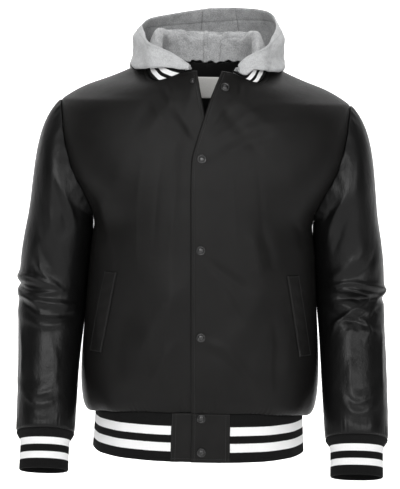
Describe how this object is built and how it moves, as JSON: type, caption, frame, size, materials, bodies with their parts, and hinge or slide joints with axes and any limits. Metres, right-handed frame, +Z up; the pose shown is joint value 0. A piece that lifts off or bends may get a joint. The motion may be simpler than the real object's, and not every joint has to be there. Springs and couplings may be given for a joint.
{
  "type": "varsity jacket",
  "caption": "Filled-out hooded varsity jacket with snap front, set-in sleeves, striped rib collar, cuffs and hem, and a hood laid back.",
  "frame": {"origin": "middle of the neck opening, just above the high shoulder points, where the wearer's neck rises and holds the jacket", "axes": "+X towards the wearer's left, -Y the way the front faces, +Z up"},
  "size_m": [0.645, 0.3348, 0.8147],
  "materials": {
    "body_cloth": "smooth woven cloth, soft sheen",
    "sleeve_leather": "smooth coated leather cloth, satin gloss",
    "rib_knit": "matt rib knit, black with white stripes",
    "fleece": "matt marled fleece",
    "snap_metal": "dark satin metal",
    "label": "plain woven label, nothing on it"
  },
  "bodies": {
    "root": {"front_left": "body_cloth", "front_right": "body_cloth", "back": "body_cloth", "sleeve_left": "sleeve_leather", "sleeve_right": "sleeve_leather", "cuff_left": "rib_knit", "cuff_right": "rib_knit", "hem_rib": "rib_knit", "collar": "rib_knit", "hem_tab_left": "body_cloth", "hem_tab_right": "body_cloth", "hood_left": "fleece", "hood_centre": "fleece", "hood_right": "fleece", "welt_left": "body_cloth", "welt_right": "body_cloth", "neck_label": "label", "snap_cap_1": "snap_metal", "snap_cap_2": "snap_metal", "snap_cap_3": "snap_metal", "snap_cap_hem_1": "snap_metal", "snap_cap_hem_2": "snap_metal", "snap_cap_open": "snap_metal", "snap_stud_open": "snap_metal"}
  },
  "joints": []
}
